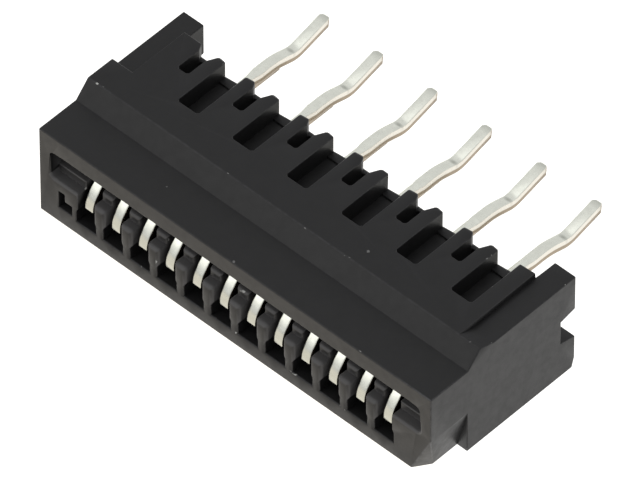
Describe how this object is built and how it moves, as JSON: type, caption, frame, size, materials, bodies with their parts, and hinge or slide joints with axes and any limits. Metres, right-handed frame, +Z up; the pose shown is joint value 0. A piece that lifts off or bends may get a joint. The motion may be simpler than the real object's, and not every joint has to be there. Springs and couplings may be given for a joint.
{
  "type": "fpc connector",
  "caption": "Board connector for a flat flexible cable: black moulded housing with a front slot, sprung tinned contacts and staggered through-hole tails.",
  "frame": {"origin": "middle of the overall box, tails included, on the flat underside that the part lies on", "axes": "+X along the contact row towards the keyed corner, +Y from the cable slot towards the tails, +Z up from the flat underside"},
  "size_m": [0.018, 0.0106, 0.0047],
  "materials": {
    "black_plastic": "fine matte, satin on the end faces",
    "tinned_metal": "matte tin plate, bare copper along the sheared edges"
  },
  "bodies": {
    "root": {"housing": "black_plastic", "contact_1": "tinned_metal", "contact_2": "tinned_metal", "contact_3": "tinned_metal", "contact_4": "tinned_metal", "contact_5": "tinned_metal", "contact_6": "tinned_metal", "contact_7": "tinned_metal", "contact_8": "tinned_metal", "contact_9": "tinned_metal", "contact_10": "tinned_metal", "contact_11": "tinned_metal", "contact_12": "tinned_metal"}
  },
  "joints": []
}
